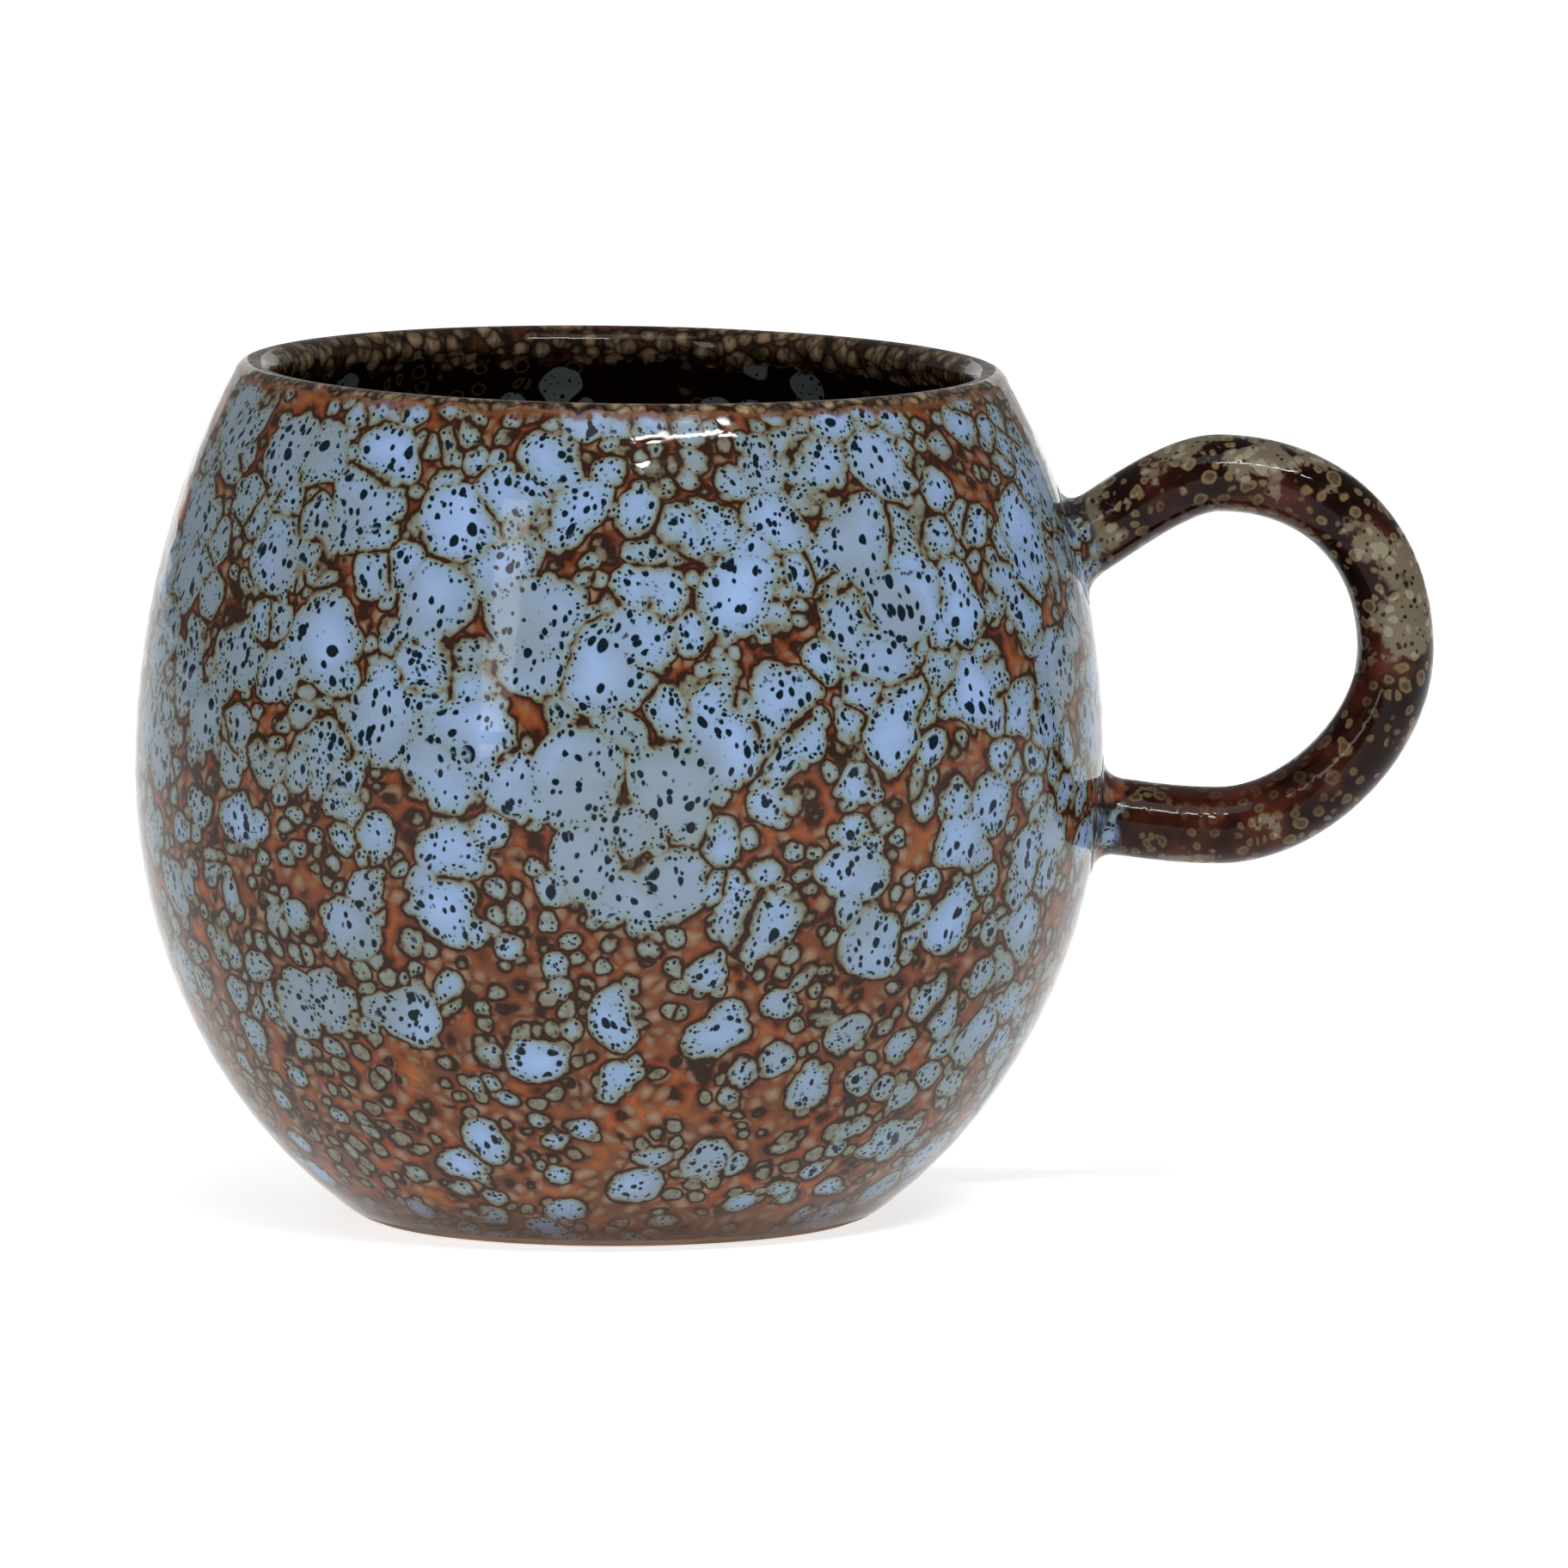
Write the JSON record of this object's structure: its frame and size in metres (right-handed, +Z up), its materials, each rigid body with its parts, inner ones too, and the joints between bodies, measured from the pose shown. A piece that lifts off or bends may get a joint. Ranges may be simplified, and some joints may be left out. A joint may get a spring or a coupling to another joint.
{
  "type": "mug",
  "caption": "Round-bellied glazed stoneware mug with a narrowed mouth, a flat dry foot and a round ring handle luted to its wall.",
  "frame": {"origin": "on the vessel's axis, in the plane of the flat foot that the mug rests on", "axes": "+Z up along the vessel's axis, +X towards the handle, +Y across the handle"},
  "size_m": [0.1367, 0.102, 0.0906],
  "materials": {
    "stoneware_clay": "matte unglazed biscuit",
    "joining_slip": "matte fired slip under the glaze",
    "outer_glaze": "glossy reactive glaze, blue spotted islands on rust brown",
    "inner_glaze": "glossy near-black brown liner glaze",
    "handle_glaze": "glossy dark brown glaze with small tan rings"
  },
  "bodies": {
    "root": {"body": "stoneware_clay", "handle": "stoneware_clay", "upper_handle_slip": "joining_slip", "lower_handle_slip": "joining_slip", "outer_glaze": "outer_glaze", "inner_glaze": "inner_glaze", "handle_glaze": "handle_glaze"}
  },
  "joints": []
}
